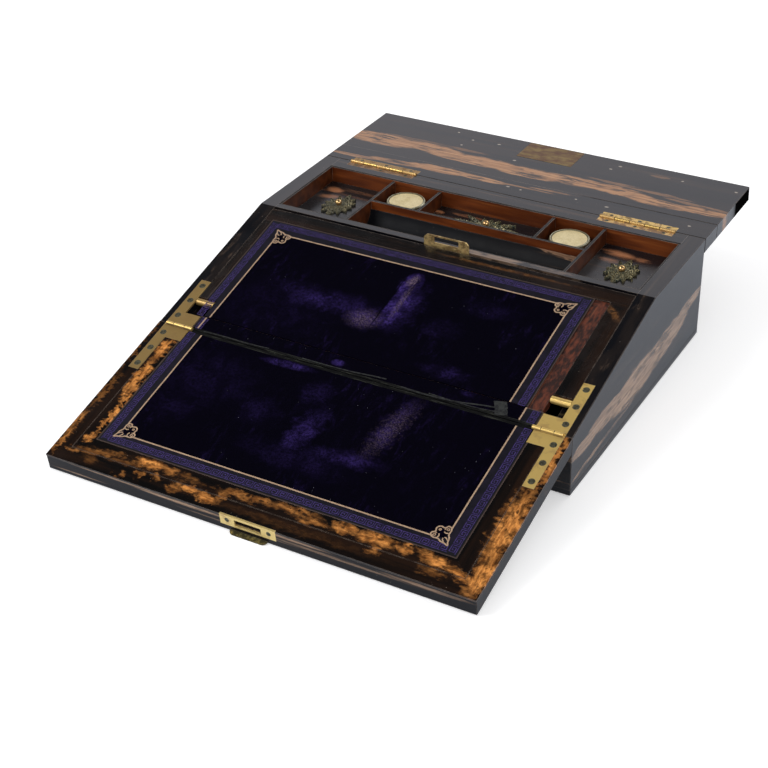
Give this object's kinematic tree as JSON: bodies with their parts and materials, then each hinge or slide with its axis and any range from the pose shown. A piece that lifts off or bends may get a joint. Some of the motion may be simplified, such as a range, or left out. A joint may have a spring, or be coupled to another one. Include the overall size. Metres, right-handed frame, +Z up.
{
  "type": "writing slope",
  "caption": "Slope-front writing box, open: hinged flap and lid, lifting writing panel, pen tray with ink bottles and sunk lids, and a box lock.",
  "frame": {"origin": "centre of the closed box's underside, where it stands", "axes": "+X to the writer's right, +Y from the writer to the back, +Z up"},
  "size_m": [0.38, 0.5528, 0.1041],
  "materials": {
    "coromandel": "polished, near black with tan streaks",
    "figured_coromandel": "polished, mottled amber on near black",
    "mahogany": "satin red-brown",
    "black_wood": "polished black",
    "leather": "dark purple, blind tooled with a key border",
    "velvet": "worn dark purple pile",
    "cloth": "worn black",
    "brass": "satin, lightly tarnished",
    "old_brass": "brown tarnish",
    "verdigris_brass": "dull, greenish",
    "screw_steel": "dull, slotted",
    "iron": "dark",
    "glass": "clear",
    "ivory": "cream, finely crackled"
  },
  "bodies": {
    "box": {"bottom_board": "black_wood", "left_wall": "coromandel", "right_wall": "coromandel", "front_wall": "coromandel", "back_wall": "coromandel", "tray_rail": "coromandel", "fold_strip": "black_wood", "panel_ledges": "black_wood", "fold_leather": "leather", "fold_velvet": "velvet", "fold_cloth": "cloth", "loop_plate": "brass", "loop_screws": "screw_steel", "hinge_box_plates": "brass", "hinge_box_screws": "screw_steel", "hinge_pins": "brass", "butt_box_leaves": "brass", "butt_box_screws": "screw_steel", "tray_floor": "mahogany", "tray_bearers": "mahogany", "tray_lining": "mahogany", "tray_dividers": "mahogany", "pen_trough": "black_wood", "lid_cleats": "mahogany"},
    "flap": {"flap_board": "coromandel", "flap_edge_border": "coromandel", "flap_inner_border": "figured_coromandel", "flap_leather": "leather", "flap_velvet": "velvet", "flap_cloth": "cloth", "hinge_flap_plates": "brass", "hinge_flap_screws": "screw_steel", "lock_face_plate": "brass", "lock_screws": "screw_steel", "lock_case": "iron", "escutcheon": "old_brass"},
    "bolt": {"lock_bolt": "iron"},
    "panel": {"panel_board": "mahogany", "panel_border": "coromandel", "panel_leather": "leather", "panel_velvet": "velvet", "panel_barrels": "brass"},
    "lid": {"lid_board": "coromandel", "lid_hinge_strip": "coromandel", "lid_plate": "old_brass", "butt_lid_leaves": "brass", "butt_lid_screws": "screw_steel"},
    "ink_bottle_left": {"ink_bottle_left": "glass"},
    "ink_cap_left": {"ink_cap_left": "old_brass", "ink_disc_left": "ivory"},
    "ink_bottle_right": {"ink_bottle_right": "glass"},
    "ink_cap_right": {"ink_cap_right": "old_brass", "ink_disc_right": "ivory"},
    "small_lid_left": {"small_lid_left": "coromandel", "lid_mount_left": "verdigris_brass"},
    "small_lid_centre": {"small_lid_centre": "coromandel", "lid_mount_centre": "verdigris_brass"},
    "small_lid_right": {"small_lid_right": "coromandel", "lid_mount_right": "verdigris_brass"}
  },
  "joints": [
    {"name": "flap_hinge", "type": "hinge", "parent": "box", "child": "flap", "pos_m": [0, -0.13765, 0.05486], "axis": [-1, 0, 0], "range_deg": [0, 180]},
    {"name": "lid_hinge", "type": "hinge", "parent": "box", "child": "lid", "pos_m": [0, 0.13765, 0.09478], "axis": [1, 0, 0], "range_deg": [0, 180]},
    {"name": "lock_throw", "type": "slide", "parent": "flap", "child": "bolt", "axis": [0, -0.9703, -0.2419], "range_m": [0, 0.0075]},
    {"name": "panel_pivot", "type": "hinge", "parent": "box", "child": "panel", "pos_m": [0, -0.10376, 0.0598], "axis": [-1, 0, 0], "range_deg": [-90, 0]},
    {"name": "bottle_lift_left", "type": "slide", "parent": "box", "child": "ink_bottle_left", "axis": [0, 0, -1], "range_m": [-0.06, 0]},
    {"name": "cap_lift_left", "type": "slide", "parent": "ink_bottle_left", "child": "ink_cap_left", "axis": [0, 0, -1], "range_m": [-0.015, 0]},
    {"name": "bottle_lift_right", "type": "slide", "parent": "box", "child": "ink_bottle_right", "axis": [0, 0, -1], "range_m": [-0.06, 0]},
    {"name": "cap_lift_right", "type": "slide", "parent": "ink_bottle_right", "child": "ink_cap_right", "axis": [0, 0, -1], "range_m": [-0.015, 0]},
    {"name": "lid_lift_left", "type": "slide", "parent": "box", "child": "small_lid_left", "axis": [0, 0, -1], "range_m": [-0.03, 0]},
    {"name": "lid_lift_centre", "type": "slide", "parent": "box", "child": "small_lid_centre", "axis": [0, 0, -1], "range_m": [-0.03, 0]},
    {"name": "lid_lift_right", "type": "slide", "parent": "box", "child": "small_lid_right", "axis": [0, 0, -1], "range_m": [-0.03, 0]}
  ]
}
